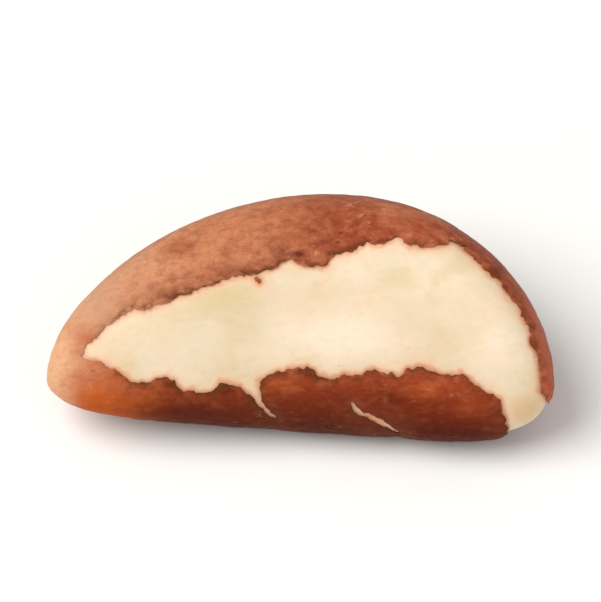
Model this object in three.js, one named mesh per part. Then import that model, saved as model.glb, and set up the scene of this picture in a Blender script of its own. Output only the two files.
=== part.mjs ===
// A shelled Brazil nut kernel that lies on one of its flat sides, with most of its brown skin left on.
// Millimetres, +Z up. X runs along the nut, its narrow end at -X, and the bare face leans back from -Y.
// The origin is under the middle of the nut, on the surface that it rests on.
import * as THREE from "three";

// The outline is given as it is seen from VIEW_ELEVATION above the horizontal, square to the bare face.
const LENGTH = 38;
const VIEW_ELEVATION = 55;
// Reach of the arched back above the line between the two tips, and of the blunt ridge below it. The
// values are for evenly spaced places from the narrow end to the wide one. Each is the reach that an
// ellipse with that value as its half height would have there, so the ends come out round.
const BACK_REACH = [11.3, 13.15, 14.25, 15.2, 15.6];
const RIDGE_REACH = [4.5, 3.6, 3.7, 4.8, 7.5];
const TIP_LINE_DROP = 0.35;

// The section is a rounded triangle. Each entry is a flat that bounds it: the direction it faces,
// in degrees from +Y towards +Z, and its distance from the middle of the section.
const BARE_FACE = { facing: 135, distance: 6.7 };
const UNDERSIDE = { facing: 270, distance: 6.7 };
const BACK_FACE = { facing: 24, distance: 6.8 };
const FRONT_RIDGE = { facing: 202.5, distance: 10.8 };
const TOP_RIDGE = { facing: 79.3, distance: 8.8 };
const REAR_RIDGE = { facing: 327, distance: 9.2 };
const FLATS = [BARE_FACE, UNDERSIDE, BACK_FACE, FRONT_RIDGE, TOP_RIDGE, REAR_RIDGE];
const CRISPNESS = 4.6;
const END_ROUNDING = 0.7;
const TWIST = 5;

// How the nut stands: the heights of its narrow and wide tips, and how deep its underside is worn.
const NARROW_TIP_HEIGHT = 5.3;
const WIDE_TIP_HEIGHT = 6.5;
const FLAT_DEPTH = 0.45;

// Long, low swells and hollows of the surface: share of the radius, and waves along and around the nut.
const SWELLS = [
  { share: 0.0085, along: 5.1, around: 2, phase: 0 },
  { share: 0.0085, along: 7.3, around: -3, phase: 1.3 },
];

// The skin is a thin coat with a hair's breadth of air under it, so that the two solids stay apart.
const SKIN = 0.3;
const SKIN_GAP = 0.1;

// Where the skin has come off the face, as seen square to it: X along the nut and height above the
// line between the tips. The upper edge runs from the narrow end to the wide one, the lower one back.
const WINDOW = [
  [-16.2, 2.3], [-15.4, 3.3], [-14.4, 4.3], [-12.9, 5.5], [-10.8, 5.9], [-8.8, 6.7], [-6.6, 7.5],
  [-4.8, 8.1], [-3.1, 8.4], [-2.0, 8.75], [-0.3, 9.35], [0.2, 9.0], [1.9, 8.9], [2.5, 9.5],
  [4.6, 10.1], [5.4, 10.65], [7.2, 10.9], [8.4, 10.3], [10.0, 10.5], [11.3, 10.9], [12.7, 9.9],
  [14.4, 7.9], [15.8, 6.4], [16.8, 4.2], [17.6, 2.0], [17.9, 0.0], [18.6, -1.4], [18.3, -3.6],
  [16.8, -5.9], [15.6, -5.4], [15.5, -2.7], [14.7, -1.4], [13.2, -0.3], [11.9, 0.7], [10.3, 0.6],
  [9.2, 1.2], [7.8, 1.1], [7.1, 0.4], [6.3, 1.0], [4.7, 0.9], [3.1, 0.6], [1.3, 0.7],
  [0.4, 1.35], [-1.8, 0.8], [-2.9, 0.1], [-3.6, -0.7], [-5.2, 0.0], [-6.3, -0.4], [-7.4, -0.75],
  [-8.7, -0.5], [-10.0, 0.45], [-11.8, 0.0], [-13.5, 0.5], [-14.9, 1.4],
];
// How far the window may run on past the outline: the cosine between the surface and the line of
// sight where it must end, and the millimetres of surface over which that cosine changes by one.
const WINDOW_TURNS = 0.35;
const TURN_RUN = 3;
// Splits in the strip of skin along the front ridge, seen the same way: points and half widths.
const SPLITS = [
  [[-3.6, -0.4, 0.45], [-3.0, -1.4, 0.4], [-2.1, -2.4, 0.3]],
  [[3.7, -1.2, 0.3], [5.2, -2.3, 0.4], [7.0, -3.6, 0.3]],
];
// Where it has worn off the underside: up to this height, and the millimetres of surface over which
// the underside rises by one there.
const WORN_HEIGHT = 0.15;
const WORN_RUN = 4;
// A small chip in the skin on the back.
const BACK_CHIP = { x: -7.5, z: 9.0, halfLength: 2.4, halfWidth: 1.0, lean: 12 };
// The torn edges wander on two crossing waves, less where the outline above already has their shape.
const TEARS = [
  { size: 0.25, wave: new THREE.Vector3(2.3, 0, 1.1), phase: 0 },
  { size: 0.25, wave: new THREE.Vector3(1.3, -2.9, 0), phase: 2 },
];
const WINDOW_TEAR = 0.3;
const CHIP_TEAR = 0.5;

// Facets along and around each solid, and the directions in which a section's reach is tried.
const KERNEL_GRID = { along: 46, around: 40 };
const SKIN_GRID = { along: 56, around: 48 };
const OUTLINE_STEPS = 180;

const FLESH_FINISH = { color: 0xf3dfb8, roughness: 0.5, metalness: 0 };
const SKIN_FINISH = { color: 0x9a4a2a, roughness: 0.62, metalness: 0 };

const radians = THREE.MathUtils.degToRad;
const lerp = THREE.MathUtils.lerp;
const upInView = new THREE.Vector3(0, Math.sin(radians(VIEW_ELEVATION)), Math.cos(radians(VIEW_ELEVATION)));
const towardViewer = new THREE.Vector3(0, -upInView.z, upInView.y);

// Value at a place from -1 to 1 along the nut, on a smooth curve through evenly spaced values.
function along(values, place) {
  const t = ((place + 1) / 2) * (values.length - 1);
  const i = Math.min(Math.floor(t), values.length - 2);
  const at = (n) => values[n] ?? (n < 0 ? 2 * values[0] - values[1] : 2 * values.at(-1) - values.at(-2));
  const [a, b, c, d] = [at(i - 1), at(i), at(i + 1), at(i + 2)];
  const u = t - i;
  return b + 0.5 * u * (c - a + u * (2 * a - 5 * b + 4 * c - d + u * (3 * (b - c) + d - a)));
}

// Radius of the full-size section in a direction, turned a little along the nut and rounder at its ends.
function sectionRadius(place, angle) {
  const turned = angle - radians(TWIST) * place;
  const sum = FLATS.reduce((total, flat) => {
    const facing = Math.max(0, Math.cos(turned - radians(flat.facing)));
    return total + (facing / flat.distance) ** CRISPNESS;
  }, 0);
  const round = (BARE_FACE.distance + FRONT_RIDGE.distance) / 2;
  return lerp(sum ** (-1 / CRISPNESS), round, END_ROUNDING * place ** 4);
}

// Radius with the swells on it, as a share of the smooth one.
function swell(place, angle) {
  return SWELLS.reduce(
    (share, wave) => share + wave.share * Math.sin(wave.along * place + wave.around * angle + wave.phase),
    1,
  );
}

// Scale and middle of the section at a place: it spans the outline as seen, and the tips hang free.
function fitSection(place) {
  let [low, high] = [0, 0];
  for (let step = 0; step < OUTLINE_STEPS; step += 1) {
    const angle = (2 * Math.PI * step) / OUTLINE_STEPS;
    const r = sectionRadius(place, angle) * swell(place, angle);
    const height = r * (Math.cos(angle) * upInView.y + Math.sin(angle) * upInView.z);
    low = Math.min(low, height);
    high = Math.max(high, height);
  }
  const ellipse = Math.sqrt(1 - place * place);
  const tipLine = -TIP_LINE_DROP * place;
  const top = tipLine + along(BACK_REACH, place) * ellipse;
  const bottom = tipLine - along(RIDGE_REACH, place) * ellipse;
  const scale = (top - bottom) / (high - low);
  const tipHeight = lerp(NARROW_TIP_HEIGHT, WIDE_TIP_HEIGHT, (place + 1) / 2);
  const z = lerp(tipHeight, UNDERSIDE.distance, scale) - FLAT_DEPTH;
  return { scale, y: (top - scale * high - z * upInView.z) / upInView.y, z };
}

// Closed grid over the whole nut, with a point at each tip. Rows crowd together towards the tips.
function bodyGeometry({ along: rows, around }) {
  const positions = [];
  const ring = (row) => 1 + (row - 1) * around;
  for (let row = 0; row <= rows; row += 1) {
    const place = -Math.cos((Math.PI * row) / rows);
    const atTip = row === 0 || row === rows;
    const { scale, y, z } = fitSection(place);
    for (let step = 0; step < (atTip ? 1 : around); step += 1) {
      const angle = (2 * Math.PI * step) / around;
      const r = atTip ? 0 : scale * sectionRadius(place, angle) * swell(place, angle);
      positions.push((LENGTH / 2) * place, y + r * Math.cos(angle), z + r * Math.sin(angle));
    }
  }
  const last = positions.length / 3 - 1;
  const faces = [];
  for (let step = 0; step < around; step += 1) {
    const next = (step + 1) % around;
    faces.push(0, ring(1) + next, ring(1) + step);
    for (let row = 1; row < rows - 1; row += 1) {
      const [a, b, c, d] = [ring(row) + step, ring(row) + next, ring(row + 1) + step, ring(row + 1) + next];
      faces.push(a, b, d, a, d, c);
    }
    faces.push(last, ring(rows - 1) + step, ring(rows - 1) + next);
  }
  const geometry = new THREE.BufferGeometry();
  geometry.setAttribute("position", new THREE.Float32BufferAttribute(positions, 3));
  geometry.setIndex(faces);
  geometry.computeVertexNormals();
  return geometry;
}

// Points of a geometry, moved inwards along their normals.
function inset(geometry, depth) {
  const { position, normal } = geometry.attributes;
  return Array.from({ length: position.count }, (_, i) =>
    new THREE.Vector3()
      .fromBufferAttribute(position, i)
      .addScaledVector(new THREE.Vector3().fromBufferAttribute(normal, i), -depth),
  );
}

// Distance of a point from a closed outline, negative inside it.
function outlineDistance(outline, x, y) {
  let nearest = Infinity;
  let inside = false;
  outline.forEach(([bx, by], i) => {
    const [ax, ay] = outline.at(i - 1);
    const [ex, ey] = [bx - ax, by - ay];
    const t = THREE.MathUtils.clamp(((x - ax) * ex + (y - ay) * ey) / (ex * ex + ey * ey), 0, 1);
    nearest = Math.min(nearest, Math.hypot(x - ax - t * ex, y - ay - t * ey));
    if (ay > y !== by > y && x < ax + ((y - ay) / ey) * ex) inside = !inside;
  });
  return inside ? -nearest : nearest;
}

// Distance of a point from a split, negative inside it.
function splitDistance(split, x, y) {
  return Math.min(
    ...split.slice(1).map(([bx, by, wide], i) => {
      const [ax, ay, start] = split[i];
      const [ex, ey] = [bx - ax, by - ay];
      const t = THREE.MathUtils.clamp(((x - ax) * ex + (y - ay) * ey) / (ex * ex + ey * ey), 0, 1);
      return Math.hypot(x - ax - t * ex, y - ay - t * ey) - lerp(start, wide, t);
    }),
  );
}

// Distance of a point from an oval, negative inside it.
function ovalDistance(dx, dy, { halfLength, halfWidth, lean = 0 }) {
  const [c, s] = [Math.cos(radians(lean)), Math.sin(radians(lean))];
  const [u, v] = [(c * dx + s * dy) / halfLength, (c * dy - s * dx) / halfWidth];
  return (Math.hypot(u, v) - 1) * halfWidth;
}

// How far a point of the surface is inside the skin, negative where the flesh is bare.
function skinDepth(point, normal) {
  const height = point.dot(upInView);
  const away = TURN_RUN * (-WINDOW_TURNS - normal.dot(towardViewer));
  const tear = TEARS.reduce(
    (sum, { size, wave, phase }) => sum + size * Math.sin(wave.dot(point) + phase),
    0,
  );
  const face = Math.max(outlineDistance(WINDOW, point.x, height), away);
  const splits = SPLITS.map((split) => Math.max(splitDistance(split, point.x, height), away));
  const under = WORN_RUN * (point.z - WORN_HEIGHT);
  const chip = Math.max(
    ovalDistance(point.x - BACK_CHIP.x, point.z - BACK_CHIP.z, BACK_CHIP),
    -TURN_RUN * normal.y,
  );
  return Math.min(face + WINDOW_TEAR * tear, ...splits, under + tear, chip + CHIP_TEAR * tear);
}

// Coat over the part of a geometry where depth is positive: an outer and an inner sheet, which are
// cut along the line where depth is zero and joined there by a narrow wall.
function coatGeometry(geometry, thickness, depthAt) {
  const sheets = [inset(geometry, 0), inset(geometry, thickness)];
  const { normal } = geometry.attributes;
  const depth = sheets[0].map((point, i) =>
    depthAt(point, new THREE.Vector3().fromBufferAttribute(normal, i)),
  );
  const positions = [];
  const known = new Map();
  const corner = (sheet, i, j) => {
    const key = [sheet, Math.min(i, j), Math.max(i, j)].join();
    if (!known.has(key)) {
      const point = sheets[sheet][i].clone();
      if (i !== j) point.lerp(sheets[sheet][j], depth[i] / (depth[i] - depth[j]));
      known.set(key, positions.length / 3);
      positions.push(...point.toArray());
    }
    return known.get(key);
  };
  const faces = [];
  const index = geometry.index.array;
  for (let f = 0; f < index.length; f += 3) {
    const rim = [];
    const wall = [];
    for (const [i, j] of [0, 1, 2].map((n) => [index[f + n], index[f + ((n + 1) % 3)]])) {
      if (depth[i] > 0) rim.push([i, i]);
      if (depth[i] > 0 !== depth[j] > 0) {
        rim.push([i, j]);
        wall[depth[i] > 0 ? 0 : 1] = [i, j];
      }
    }
    for (let n = 1; n < rim.length - 1; n += 1) {
      const [a, b, c] = [rim[0], rim[n], rim[n + 1]];
      faces.push([corner(0, ...a), corner(0, ...b), corner(0, ...c)]);
      faces.push([corner(1, ...a), corner(1, ...c), corner(1, ...b)]);
    }
    if (wall.length) {
      const [[a, b], [c, d]] = [wall.map((cut) => corner(0, ...cut)), wall.map((cut) => corner(1, ...cut))];
      faces.push([b, a, c], [b, c, d]);
    }
  }
  const coat = new THREE.BufferGeometry();
  coat.setAttribute("position", new THREE.Float32BufferAttribute(positions, 3));
  coat.setIndex(largestBody(faces, positions.length / 3).flat());
  return coat;
}

// The faces of the largest connected body, which leaves out loose flakes.
function largestBody(faces, count) {
  const parent = Array.from({ length: count }, (_, i) => i);
  const root = (i) => {
    while (parent[i] !== i) i = parent[i];
    return i;
  };
  for (const [a, b, c] of faces) {
    parent[root(b)] = root(a);
    parent[root(c)] = root(a);
  }
  const bodies = Map.groupBy(faces, ([a]) => root(a));
  return [...bodies.values()].sort((a, b) => b.length - a.length)[0];
}

// The cream flesh: the whole nut, under the skin, with the patch that it rests on worn flat.
function makeKernel() {
  const geometry = bodyGeometry(KERNEL_GRID);
  const points = inset(geometry, SKIN + SKIN_GAP);
  for (const point of points) point.z = Math.max(point.z, 0);
  geometry.attributes.position.copyArray(points.flatMap((point) => point.toArray()));
  const kernel = new THREE.Mesh(geometry, new THREE.MeshStandardMaterial(FLESH_FINISH));
  kernel.name = "kernel";
  return kernel;
}

// The brown skin: one thin coat with ragged openings.
function makeSkin() {
  const geometry = coatGeometry(bodyGeometry(SKIN_GRID), SKIN, skinDepth);
  const skin = new THREE.Mesh(geometry, new THREE.MeshStandardMaterial(SKIN_FINISH));
  skin.name = "skin";
  return skin;
}

const nut = new THREE.Group();
nut.add(makeKernel(), makeSkin());
const box = new THREE.Box3().setFromObject(nut);
for (const piece of nut.children) {
  piece.geometry.translate(-(box.min.x + box.max.x) / 2, -(box.min.y + box.max.y) / 2, 0);
}

export default nut;
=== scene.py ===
"""A shelled Brazil nut with its torn brown skin, lying on a pale floor.

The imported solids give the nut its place, size and form. A fine kernel and a fine skin are made on that
form and dressed with procedural materials. The classes hold lengths in millimetres along the nut's own
axes: X runs to its wide end, Z is up, and the bare face looks towards -Y. Meshes are in metres.
"""

import logging
import math
from collections.abc import Iterator
from contextlib import contextmanager
from dataclasses import dataclass, replace
from enum import Enum
from typing import Protocol

import bpy
import numpy as np
from mathutils import Color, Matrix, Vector, noise

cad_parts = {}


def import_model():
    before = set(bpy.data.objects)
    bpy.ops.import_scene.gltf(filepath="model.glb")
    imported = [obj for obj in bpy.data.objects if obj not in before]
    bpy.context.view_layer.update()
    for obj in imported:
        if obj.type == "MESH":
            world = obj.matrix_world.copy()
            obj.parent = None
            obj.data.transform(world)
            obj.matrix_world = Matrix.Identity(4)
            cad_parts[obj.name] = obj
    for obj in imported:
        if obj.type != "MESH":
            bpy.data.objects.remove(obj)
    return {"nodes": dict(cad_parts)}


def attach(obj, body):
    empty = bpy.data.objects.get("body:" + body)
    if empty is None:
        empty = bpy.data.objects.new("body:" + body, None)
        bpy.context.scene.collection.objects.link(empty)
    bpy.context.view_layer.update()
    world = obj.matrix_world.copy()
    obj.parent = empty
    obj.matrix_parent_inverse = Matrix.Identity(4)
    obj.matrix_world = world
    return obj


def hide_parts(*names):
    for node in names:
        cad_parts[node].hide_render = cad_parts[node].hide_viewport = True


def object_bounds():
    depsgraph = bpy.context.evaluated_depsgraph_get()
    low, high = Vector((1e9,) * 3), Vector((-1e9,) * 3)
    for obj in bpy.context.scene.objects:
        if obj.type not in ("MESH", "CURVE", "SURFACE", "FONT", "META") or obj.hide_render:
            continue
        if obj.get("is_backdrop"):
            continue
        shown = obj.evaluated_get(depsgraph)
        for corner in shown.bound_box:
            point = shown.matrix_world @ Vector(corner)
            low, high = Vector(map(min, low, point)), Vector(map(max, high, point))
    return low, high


LOG = logging.getLogger("brazil_nut")
MM = 0.001
BODY = "root"
TINY = 1e-9
ANY_ANGLE = math.pi
FULL_LEVEL = 255

Points = np.ndarray
Piece = bpy.types.Object
Node = bpy.types.Node
Socket = bpy.types.NodeSocket
Pair = tuple[float, float]
Triple = tuple[float, float, float]


class Channel(Enum):
    """Mesh attributes that the materials read."""

    DEPTH = "skin_depth"
    SLOPE = "skin_slope"
    PATCH = "colour_patch"
    # Painted shade where the surface turns away from the line of sight.
    TURN = "turned_away"

    def draw(self, sketch: "Sketch") -> Socket:
        """Gives the attribute's value in a material."""
        return sketch.node("Attribute", attribute_name=self.value).outputs["Fac"]


class Layer(Enum):
    """The two layers of the nut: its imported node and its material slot."""

    FLESH = ("kernel", "flesh")
    SKIN = ("skin", "skin")

    @property
    def node(self) -> str:
        """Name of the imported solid."""
        return self.value[0]

    @property
    def slot(self) -> str:
        """Name of the record's material slot."""
        return self.value[1]


def select_only(piece: Piece) -> None:
    """Makes one object the active and only selected one.

    Args:
        piece: The object.
    """
    bpy.ops.object.select_all(action="DESELECT")
    piece.select_set(True)
    bpy.context.view_layer.objects.active = piece


@contextmanager
def edit_mode(piece: Piece) -> Iterator[None]:
    """Opens an object in edit mode for the length of a with block.

    Args:
        piece: The object.

    Returns:
        The block's context manager.
    """
    select_only(piece)
    bpy.ops.object.mode_set(mode="EDIT")
    yield
    bpy.ops.object.mode_set(mode="OBJECT")


def apply_modifier(piece: Piece, kind: str, **settings: object) -> None:
    """Adds a modifier to an object and applies it at once.

    Args:
        piece: The object.
        kind: Blender's name for the kind of modifier.
        settings: Values for the modifier's fields.
    """
    select_only(piece)
    modifier = piece.modifiers.new(kind.lower(), kind)
    for name, value in settings.items():
        setattr(modifier, name, value)
    bpy.ops.object.modifier_apply(modifier=modifier.name)


def copy_object(source: Piece, name: str) -> Piece:
    """Copies an object with a mesh of its own.

    Args:
        source: The object to copy.
        name: The copy's name.

    Returns:
        The copy, which rides on nothing yet.
    """
    copy = bpy.data.objects.new(name, source.data.copy())
    copy.data.name = name
    bpy.context.scene.collection.objects.link(copy)
    return copy


def read_field(items: bpy.types.bpy_prop_collection, field: str, width: int, kind: type) -> Points:
    """Reads one field of all the items in a mesh's list.

    Args:
        items: The list.
        field: The field's name.
        width: How many numbers the field holds.
        kind: The type of the numbers.

    Returns:
        One row for each item, or one number for each where the width is 1.
    """
    flat = np.empty(len(items) * width, kind)
    items.foreach_get(field, flat)
    return flat.reshape(-1, width) if width > 1 else flat


def read_points(piece: Piece) -> Points:
    """Gives the vertices of a mesh object in millimetres, one row each."""
    return read_field(piece.data.vertices, "co", 3, float) / MM


def write_points(piece: Piece, points: Points) -> None:
    """Moves the vertices of a mesh object to new places in millimetres, one row each."""
    piece.data.vertices.foreach_set("co", (points * MM).ravel())
    piece.data.update()


def read_normals(piece: Piece) -> Points:
    """Gives the vertex normals of a mesh object, one row each."""
    return read_field(piece.data.vertex_normals, "vector", 3, float)


def read_edges(piece: Piece) -> np.ndarray:
    """Gives the two vertex numbers of each edge, one row each."""
    return read_field(piece.data.edges, "vertices", 2, int)


def store(piece: Piece, channel: Channel, values: Points) -> None:
    """Keeps a number or a vector for each vertex in a mesh attribute.

    Args:
        piece: The object.
        channel: The attribute.
        values: One value or one row for each vertex.
    """
    kind, key = ("FLOAT", "value") if values.ndim == 1 else ("FLOAT_VECTOR", "vector")
    attributes = piece.data.attributes
    kept = attributes.get(channel.value) or attributes.new(channel.value, kind, "POINT")
    kept.data.foreach_set(key, values.astype(np.float32).ravel())


def recall(piece: Piece, channel: Channel) -> Points:
    """Reads back what store kept.

    Args:
        piece: The object.
        channel: The attribute.

    Returns:
        One value or one row for each vertex.
    """
    kept = piece.data.attributes[channel.value]
    key, width = ("value", 1) if kept.data_type == "FLOAT" else ("vector", 3)
    return read_field(kept.data, key, width, float)


@dataclass(frozen=True)
class Grain:
    """Smooth noise in space.

    Attributes:
        size: The noise runs from minus to plus this.
        length: How far apart its swells are along X, Y and Z.
        seed: Shifts it, so that no two grains match.
    """

    size: float
    length: Triple
    seed: float

    def at(self, points: Points) -> Points:
        """Gives the noise at some points, one value each."""
        scaled = points / np.array(self.length) + self.seed
        return self.size * np.array([noise.noise(Vector(point)) for point in scaled])


def summed(grains: tuple[Grain, ...], points: Points) -> Points:
    """Adds up several grains at some points, one value for each point."""
    return sum((grain.at(points) for grain in grains), np.zeros(len(points)))


def segment_distance(points: Points, start: Points, end: Points) -> tuple[Points, Points]:
    """Measures how far points of a plane are from a straight segment.

    Args:
        points: One row each.
        start: One end of the segment.
        end: Its other end.

    Returns:
        The distance of each point, and how far along the segment its nearest place is, from 0 to 1.
    """
    along = end - start
    share = np.clip((points - start) @ along / (along @ along), 0, 1)
    return np.linalg.norm(points - start - share[:, None] * along, axis=1), share


def outline_distance(points: Points, outline: tuple[Pair, ...]) -> Points:
    """Measures how far points of a plane are from a closed outline, negative inside it.

    Args:
        points: One row each.
        outline: The corners of the outline in order.

    Returns:
        One distance for each point.
    """
    corners = np.array(outline)
    nearest = np.full(len(points), np.inf)
    inside = np.zeros(len(points), bool)
    for start, end in zip(np.roll(corners, 1, axis=0), corners):
        nearest = np.minimum(nearest, segment_distance(points, start, end)[0])
        spans = (start[1] > points[:, 1]) != (end[1] > points[:, 1])
        if spans.any():
            slope = (end[0] - start[0]) / (end[1] - start[1])
            inside ^= spans & (points[:, 0] < start[0] + (points[:, 1] - start[1]) * slope)
    return np.where(inside, -nearest, nearest)


@dataclass(frozen=True)
class Sight:
    """The line of sight, and the plane square to it in which the torn edges are drawn.

    Attributes:
        elevation: How far above the horizontal the viewer is, in degrees.
        narrow_tip_height: Height of the nut's narrow tip in that plane.
        seen_turn: Patches show in full where the cosine between normal and line of sight is above this.
        lift: What is added to a point's height, so that it counts from the line between the tips.
    """

    elevation: float = 55.0
    narrow_tip_height: float = 0.35
    seen_turn: float = 0.5
    lift: float = 0.0

    @property
    def up(self) -> Points:
        """The direction that is up in the picture."""
        angle = math.radians(self.elevation)
        return np.array((0.0, math.sin(angle), math.cos(angle)))

    @property
    def to_viewer(self) -> Points:
        """The direction towards the viewer."""
        angle = math.radians(self.elevation)
        return np.array((0.0, -math.cos(angle), math.sin(angle)))

    def at_tip(self, points: Points) -> "Sight":
        """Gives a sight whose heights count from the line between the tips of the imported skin."""
        tip = points[points[:, 0].argmin()]
        return replace(self, lift=self.narrow_tip_height - float(tip @ self.up))

    def plane(self, points: Points) -> Points:
        """Gives the places of points in the picture plane: across and up, one row each."""
        return np.column_stack((points[:, 0], points @ self.up + self.lift))


@dataclass(frozen=True)
class Patch:
    """A soft oval patch of the surface, given as it is seen.

    Attributes:
        across: Its middle along the nut.
        up: Its middle above the line between the tips.
        half_length: How far it reaches along the nut.
        half_width: How far it reaches up and down.
        strength: Its value in its middle. Where it is negative, the patch has the finish's other colour.
        falloff: How steeply it fades from its middle.
    """

    across: float
    up: float
    half_length: float
    half_width: float
    strength: float = 1.0
    falloff: float = 2.0

    def share(self, drawn: Points) -> Points:
        """Gives how strong the patch is at points of the picture plane, one value each."""
        off = (drawn - (self.across, self.up)) / (self.half_length, self.half_width)
        return self.strength * np.exp(-self.falloff * (off**2).sum(1))


def patch_share(patches: tuple[Patch, ...], points: Points, normals: Points, sight: Sight) -> Points:
    """Adds up soft patches on the side that the viewer sees.

    Args:
        patches: The patches.
        points: Points of the surface, one row each.
        normals: The surface's normals there.
        sight: The line of sight.

    Returns:
        One value from -1 to 1 for each point.
    """
    drawn = sight.plane(points)
    total = sum((patch.share(drawn) for patch in patches), np.zeros(len(points)))
    return np.clip(total, -1, 1) * np.clip(normals @ sight.to_viewer / sight.seen_turn, 0, 1)


@dataclass(frozen=True)
class SkinEdge:
    """Where the skin ends: the openings in it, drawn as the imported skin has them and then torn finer.

    Attributes:
        window: The opening over the face, in the picture plane.
        wrap_heights: Two heights in that plane.
        wrap_turns: How far round the nut the window and the splits reach at those heights: the cosine
            between the surface's normal and the line of sight, with its sign changed.
        turn_run: Millimetres of depth for each unit of that cosine.
        splits: The splits below the window, each a chain of points with half widths.
        worn_height: Height up to which the skin is worn off the underside.
        worn_run: How fast depth grows above that.
        chip_centre: Middle of the chip on the back, along the nut and up.
        chip_half_size: Half the chip's length and height.
        chip_lean: How far the chip leans, in degrees.
        fleck: The loose fleck of skin in the window, a chain like a split.
        tear_reach: How far from the chip's oval its tears reach.
        edge_height: How far above the form the edge is seen.
        window_tears: Fine tears, on every edge.
        worn_share: How strong the fine tears are at the worn underside.
        chip_share: How strong they are at the chip.
        split_share: How strong they are at the splits.
        fleck_share: How strong they are at the fleck.
        other_tears: Coarse tears at the chip and the worn underside.
    """

    window: tuple[Pair, ...] = (
        (-16.3, 2.2), (-15.9, 3.1), (-14.9, 4.05), (-14.1, 4.75), (-13.2, 5.25), (-12.4, 5.7), (-11.7, 5.6),
        (-10.9, 5.9), (-10.0, 6.1), (-9.5, 6.3), (-8.9, 6.7), (-7.5, 7.15), (-6.2, 7.65), (-5.1, 8.05),
        (-3.7, 8.2), (-2.6, 8.45), (-1.6, 8.9), (-0.8, 9.4), (-0.4, 9.1), (0.3, 8.95), (1.6, 8.8),
        (2.0, 8.95), (2.3, 9.65), (3.0, 9.8), (3.8, 10.0), (4.4, 10.3), (4.9, 10.7), (5.4, 10.5),
        (6.0, 10.5), (6.5, 10.75), (7.2, 11.0), (7.8, 10.7), (8.2, 10.3), (9.3, 10.4), (10.5, 10.55),
        (11.5, 10.9), (12.1, 10.4), (13.0, 9.6), (14.1, 8.4), (14.9, 7.8), (15.3, 7.0), (16.1, 6.1),
        (16.4, 5.3), (16.9, 4.7), (17.2, 3.8), (17.1, 3.15), (17.45, 2.8), (17.75, 1.6), (17.95, 0.3),
        (17.85, -0.4), (18.3, -0.9), (18.8, -1.6), (18.4, -3.6), (16.8, -5.9), (15.7, -5.4), (15.4, -3.3),
        (15.1, -2.1), (14.9, -1.15), (13.9, -0.55), (13.1, -0.1), (12.4, 0.45), (11.9, 0.85), (11.1, 0.7),
        (10.6, 0.65), (9.9, 1.05), (8.9, 1.35), (7.9, 1.15), (7.4, 0.65), (6.9, 0.7), (6.3, 0.95),
        (5.5, 1.15), (5.0, 1.05), (4.6, 0.75), (3.2, 0.8), (2.9, 0.55), (2.1, 0.55), (1.3, 0.7),
        (0.9, 1.05), (0.5, 1.3), (-0.1, 1.2), (-0.8, 1.33), (-1.2, 1.0), (-1.9, 1.0), (-2.6, 0.65),
        (-3.1, 0.25), (-3.0, -0.5), (-3.3, -1.1), (-4.1, -0.65), (-4.6, -0.1), (-5.2, 0.15), (-5.9, 0.17),
        (-6.3, -0.2), (-6.6, -0.65), (-7.5, -0.65), (-8.0, -0.4), (-8.7, -0.5), (-9.1, -0.15), (-9.5, 0.4),
        (-10.0, 0.55), (-10.5, 0.45), (-11.0, 0.2), (-12.5, 0.1), (-13.0, 0.65), (-13.9, 1.2), (-14.8, 1.7),
        (-15.6, 1.85),
    )
    wrap_heights: Pair = (-2.5, 0.5)
    wrap_turns: Pair = (0.35, 0.12)
    turn_run: float = 3.0
    splits: tuple[tuple[Triple, ...], ...] = (
        ((-3.3, -0.9, 0.22), (-2.9, -1.6, 0.17), (-2.4, -2.1, 0.14), (-1.9, -2.45, 0.07)),
        ((3.7, -1.1, 0.1), (4.15, -1.9, 0.2), (5.0, -2.3, 0.14), (6.0, -2.85, 0.2), (7.3, -3.6, 0.08)),
    )
    worn_height: float = 0.17
    worn_run: float = 4.0
    chip_centre: Pair = (-7.5, 9.0)
    chip_half_size: Pair = (2.3, 0.95)
    chip_lean: float = 12.0
    fleck: tuple[Triple, ...] = ((-3.35, 8.0, 0.12), (-3.1, 7.75, 0.17))
    tear_reach: float = 0.8
    edge_height: float = 0.16
    window_tears: tuple[Grain, ...] = (
        Grain(0.10, (1.1, 1.1, 1.1), 3.1),
        Grain(0.15, (0.5, 0.5, 0.5), 7.7),
        Grain(0.16, (0.3, 0.3, 0.3), 4.9),
    )
    worn_share: float = 0.4
    chip_share: float = 1.2
    split_share: float = 0.6
    fleck_share: float = 0.5
    other_tears: tuple[Grain, ...] = (
        Grain(0.95, (3.2, 3.2, 3.2), 11.4),
        Grain(0.35, (1.1, 1.1, 1.1), 5.9),
        Grain(0.18, (0.5, 0.5, 0.5), 2.3),
    )

    def depth(self, points: Points, normals: Points, sight: Sight) -> Points:
        """Measures how far points of the nut's surface are inside the skin.

        Args:
            points: Points of the surface, one row each.
            normals: The surface's normals there.
            sight: The line of sight.

        Returns:
            Millimetres from the torn edge for each point, negative where the flesh is bare.
        """
        drawn = sight.plane(points + self.edge_height * normals)
        turns = np.interp(drawn[:, 1], self.wrap_heights, self.wrap_turns)
        away = self.turn_run * (-turns - normals @ sight.to_viewer)
        fine, coarse = summed(self.window_tears, points), summed(self.other_tears, points)
        face = np.maximum(outline_distance(drawn, self.window), away) + fine
        worn = self.worn_run * (points[:, 2] - self.worn_height) + np.minimum(coarse, 0)
        chip = self._chip(points, normals, coarse)
        bare = [face, worn + self.worn_share * fine, chip + self.chip_share * fine]
        for split in self.splits:
            bare.append(np.maximum(self._chain(drawn, split), away) + self.split_share * fine)
        depth = np.minimum.reduce(bare)
        fleck = self.fleck_share * fine - self._chain(drawn, self.fleck)
        return np.where(away < 0, np.maximum(depth, fleck), depth)

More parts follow.
